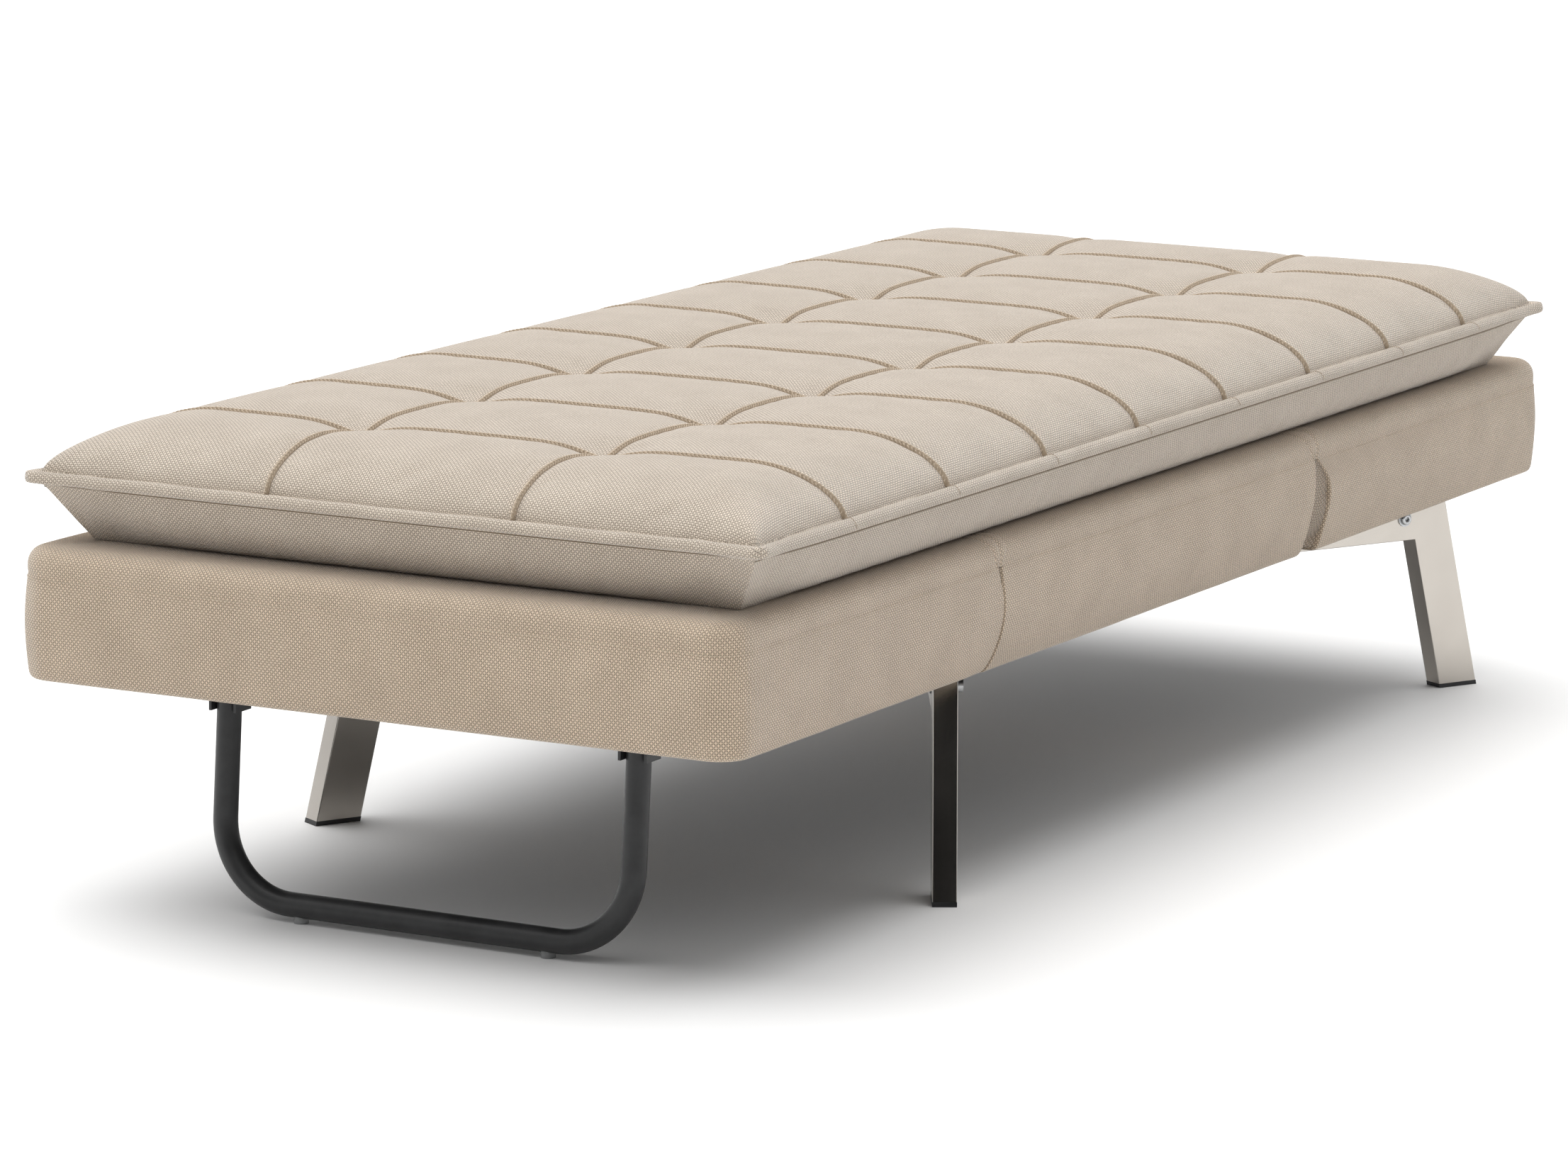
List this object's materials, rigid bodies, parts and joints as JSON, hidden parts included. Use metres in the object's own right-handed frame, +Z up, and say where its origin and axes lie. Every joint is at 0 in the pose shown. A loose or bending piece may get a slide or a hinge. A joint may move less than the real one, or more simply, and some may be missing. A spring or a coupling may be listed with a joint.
{
  "type": "folding chaise longue",
  "caption": "Armless folding chaise longue: quilted topper on an upholstered base whose back and foot lift, on crossing splayed tube legs with a folding hoop under the foot.",
  "frame": {"origin": "on the floor under the middle of the base, lying flat", "axes": "+Z up, +Y along the length from the foot end to the back end, +X across the width"},
  "size_m": [0.832, 1.971, 0.5002],
  "materials": {
    "cover_fabric": "coarse plain weave, matt",
    "topper_fabric": "coarse plain weave, matt",
    "padding": "open-cell foam and wadding",
    "dust_cloth": "thin spunbond cloth, matt",
    "frame_wood": "sawn softwood, unfinished",
    "leg_steel": "satin nickel",
    "black_metal": "satin powder coat",
    "hinge_steel": "pressed and zinc plated",
    "fixings": "zinc plated",
    "cap_plastic": "moulded, matt",
    "glide_plastic": "moulded, translucent",
    "connector_plastic": "moulded, matt",
    "bumper_rubber": "matt"
  },
  "bodies": {
    "seat": {"seat_dust_cover": "dust_cloth", "seat_cover": "cover_fabric", "seat_foam": "padding", "seat_side_rails": "frame_wood", "seat_cross_rails": "frame_wood", "seat_slats": "frame_wood", "side_pleats_foot": "cover_fabric", "side_pleats_back": "cover_fabric", "crease_roll_foot": "padding", "crease_roll_back": "padding", "hinge_seat_plates_foot": "hinge_steel", "hinge_seat_plates_back": "hinge_steel", "hinge_pins_foot": "fixings", "hinge_pins_back": "fixings", "detent_springs_foot": "hinge_steel", "detent_springs_back": "hinge_steel", "hinge_screws_seat": "fixings", "topper_seat": "topper_fabric", "topper_crease_foot": "topper_fabric", "topper_crease_back": "topper_fabric", "beam_long": "leg_steel", "beam_halves": "leg_steel", "leg_rear_right": "leg_steel", "leg_front_left": "leg_steel", "leg_front_right": "leg_steel", "leg_rear_left": "leg_steel", "corner_connectors": "connector_plastic", "foot_caps": "cap_plastic", "leg_bolts": "fixings", "leg_washers": "fixings", "leg_nuts": "fixings", "centre_plate": "black_metal", "front_plates": "black_metal", "mount_bolts": "fixings", "back_bumpers": "bumper_rubber"},
    "foot": {"foot_dust_cover": "dust_cloth", "foot_cover": "cover_fabric", "foot_foam": "padding", "foot_side_rails": "frame_wood", "foot_cross_rails": "frame_wood", "foot_slats": "frame_wood", "hinge_plates_foot": "hinge_steel", "hinge_screws_foot": "fixings", "topper_foot": "topper_fabric", "hoop_brackets": "black_metal", "bracket_screws": "fixings", "pivot_bolts": "fixings", "pivot_nuts": "fixings"},
    "support_leg": {"support_hoop": "black_metal", "hoop_glides": "glide_plastic"},
    "back": {"back_dust_cover": "dust_cloth", "back_cover": "cover_fabric", "back_foam": "padding", "back_side_rails": "frame_wood", "back_cross_rails": "frame_wood", "back_slats": "frame_wood", "hinge_plates_back": "hinge_steel", "hinge_screws_back": "fixings", "topper_back": "topper_fabric"}
  },
  "joints": [
    {"name": "back_recline", "type": "hinge", "parent": "seat", "child": "back", "pos_m": [0, 0.3345, 0.342], "axis": [1, 0, 0], "range_deg": [0, 75], "deforming": ["topper_crease_back", "crease_roll_back", "side_pleats_back", "detent_springs_back"]},
    {"name": "foot_lift", "type": "hinge", "parent": "seat", "child": "foot", "pos_m": [0, -0.4355, 0.342], "axis": [-1, 0, 0], "range_deg": [0, 45], "deforming": ["topper_crease_foot", "crease_roll_foot", "side_pleats_foot", "detent_springs_foot"]},
    {"name": "support_leg_fold", "type": "hinge", "parent": "foot", "child": "support_leg", "pos_m": [0, -0.8605, 0.218], "axis": [1, 0, 0], "range_deg": [0, 94]}
  ]
}
